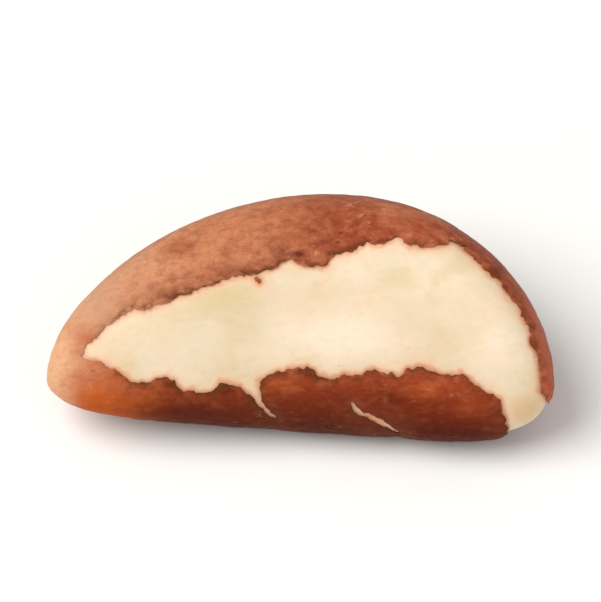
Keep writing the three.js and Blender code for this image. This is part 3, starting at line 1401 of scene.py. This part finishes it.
    def _settle_edge(self, skin: Piece) -> None:
        """Moves the corners along the torn edge onto the line where the skin's depth is zero.

        Args:
            skin: The skin, still without thickness.
        """
        edges = read_edges(skin)
        uses = np.bincount(read_field(skin.data.loops, "edge_index", 1, int), minlength=len(edges))
        rim = np.unique(edges[uses == 1])
        points, depth = read_points(skin), recall(skin, Channel.DEPTH)
        slope = recall(skin, Channel.SLOPE)[rim]
        step = -depth[rim, None] * slope / np.maximum((slope**2).sum(1), self.least_slope)[:, None]
        length = np.linalg.norm(step, axis=1, keepdims=True)
        points[rim] += step * np.minimum(1.0, self.longest_step / np.maximum(length, TINY))
        depth[rim] = 0.0
        store(skin, Channel.DEPTH, depth)
        write_points(skin, points)

    def _stand_off(self, skin: Piece) -> None:
        """Lifts the skin off the form by a hair, and a little more along parts of its edge.

        Args:
            skin: The skin, still without thickness.
        """
        points, normals, depth = read_points(skin), read_normals(skin), recall(skin, Channel.DEPTH)
        near_edge = np.clip(1 - depth / self.curl_run, 0, 1) ** 2
        free = np.interp(points[:, 0], self.curl_lengths, (0.0, 1.0))
        free *= np.interp(points[:, 2], self.curl_heights, (0.0, 1.0))
        lift = self.lift + free * near_edge * np.maximum(self.curl.at(points), 0)
        write_points(skin, points + lift[:, None] * normals)

    def _shares(self, skin: Piece) -> Points:
        """Works out the coat's thickness, pebbly on its outer face and thin at its edge.

        Args:
            skin: The skin, still without thickness.

        Returns:
            A share of the full thickness for each corner.
        """
        points, normals, depth = read_points(skin), read_normals(skin), recall(skin, Channel.DEPTH)
        near_edge = np.clip(1 - depth / self.lip_run, 0, 1)
        share = self.lip + (1 - self.lip) * (1 - near_edge**2)
        share *= self.plain_share + summed(self.pebbles, points)
        room = (points[:, 2] - self.clearance) / np.maximum(-normals[:, 2], self.least_slant)
        return np.clip(np.minimum(share, room / self.thickness), self.least_share, 1.0)

    def _thicken(self, skin: Piece) -> None:
        """Gives the skin its thickness.

        Args:
            skin: The skin, still without thickness.
        """
        group = skin.vertex_groups.new(name="thickness")
        for number, share in enumerate(self._shares(skin)):
            group.add([number], float(share), "REPLACE")
        apply_modifier(
            skin,
            "SOLIDIFY",
            thickness=self.thickness * MM,
            offset=1.0,
            vertex_group="thickness",
            use_quality_normals=True,
        )
        skin.vertex_groups.clear()
        points = read_points(skin)
        points[:, 2] = np.maximum(points[:, 2], self.clearance)
        write_points(skin, points)


@dataclass(frozen=True)
class Lamp:
    """A round, soft lamp that points at the nut.

    Attributes:
        name: Its name.
        offset: Its place from the nut's middle, in metres.
        size: Its width, in metres.
        strength: Its power, in watts.
        colour: The colour of its light.
    """

    name: str
    offset: Triple
    size: float
    strength: float
    colour: Triple

    def hang(self, middle: Vector) -> None:
        """Adds the lamp.

        Args:
            middle: The nut's middle.
        """
        light = bpy.data.lights.new(self.name, "AREA")
        light.shape = "DISK"
        light.size = self.size
        light.energy = self.strength
        light.color = self.colour
        holder = bpy.data.objects.new(self.name, light)
        holder.location = middle + Vector(self.offset)
        holder.rotation_euler = (-Vector(self.offset)).to_track_quat("-Z", "Y").to_euler()
        bpy.context.scene.collection.objects.link(holder)


@dataclass(frozen=True)
class Studio:
    """Floor, soft light and camera.

    Attributes:
        floor_size: Side of the floor, in metres.
        lamps: A large key light at the upper left and a weak fill at the right.
        sky: Colour of the light from all round.
        sky_strength: How strong that light is.
        focal_length: The lens, in millimetres.
        framed_width: What the picture's width spans at the nut.
        clip_range: The camera sees from its distance divided by this to its distance times this.
    """

    floor_size: float = 3.0
    lamps: tuple[Lamp, ...] = (
        Lamp("key", (-0.28, -0.06, 0.43), 0.45, 2.5, (1.0, 0.985, 0.96)),
        Lamp("fill", (0.34, -0.30, 0.30), 0.40, 0.3, (1.0, 0.99, 0.98)),
    )
    sky: Triple = (1.0, 0.99, 0.975)
    sky_strength: float = 0.54
    focal_length: float = 600.0
    framed_width: float = 45.0
    clip_range: float = 100.0

    def build(self, box: tuple[Vector, Vector], sight: Sight) -> None:
        """Sets up the floor, the light and the camera.

        Args:
            box: Lowest and highest corner of the nut.
            sight: The line of sight.
        """
        middle = (Vector(box[0]) + Vector(box[1])) / 2
        self._lay_floor(box[0][2])
        for lamp in self.lamps:
            lamp.hang(middle)
        self._light_sky()
        self._place_camera(middle, sight)
        bpy.context.scene.view_settings.view_transform = "Standard"

    def _lay_floor(self, height: float) -> None:
        """Lays the floor.

        Args:
            height: How high it is, in metres.
        """
        bpy.ops.mesh.primitive_plane_add(size=self.floor_size, location=(0, 0, height))
        floor = bpy.context.object
        floor.name = "floor"
        dress(floor, FloorFinish().material())
        floor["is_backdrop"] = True

    def _light_sky(self) -> None:
        """Lets soft light in from all round."""
        world = bpy.data.worlds.new("soft light")
        world.use_nodes = True
        background = world.node_tree.nodes["Background"]
        background.inputs["Color"].default_value = (*self.sky, 1.0)
        background.inputs["Strength"].default_value = self.sky_strength
        bpy.context.scene.world = world

    def _place_camera(self, middle: Vector, sight: Sight) -> None:
        """Stands the camera off along the line of sight.

        Args:
            middle: The nut's middle.
            sight: The line of sight.
        """
        camera = bpy.data.cameras.new("camera")
        camera.lens = self.focal_length
        camera.sensor_fit = "HORIZONTAL"
        distance = self.framed_width * MM * self.focal_length / camera.sensor_width
        camera.clip_start = distance / self.clip_range
        camera.clip_end = distance * self.clip_range
        holder = bpy.data.objects.new("camera", camera)
        holder.location = middle + Vector(sight.to_viewer) * distance
        holder.rotation_euler = Vector(-sight.to_viewer).to_track_quat("-Z", "Y").to_euler()
        bpy.context.scene.collection.objects.link(holder)
        bpy.context.scene.camera = holder


def main() -> None:
    """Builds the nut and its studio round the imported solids."""
    logging.basicConfig(level=logging.INFO, format="%(name)s: %(message)s")
    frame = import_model()
    cad_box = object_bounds()
    nodes = frame["nodes"]
    edge = SkinEdge()
    sight = Sight().at_tip(read_points(nodes[Layer.SKIN.node]))
    form = NutForm().build(nodes[Layer.FLESH.node])
    Flesh().build(form, edge, sight)
    Skin().build(form, edge, sight)
    bpy.data.objects.remove(form)
    Studio().build(cad_box, sight)


if __name__ == "__main__":
    main()
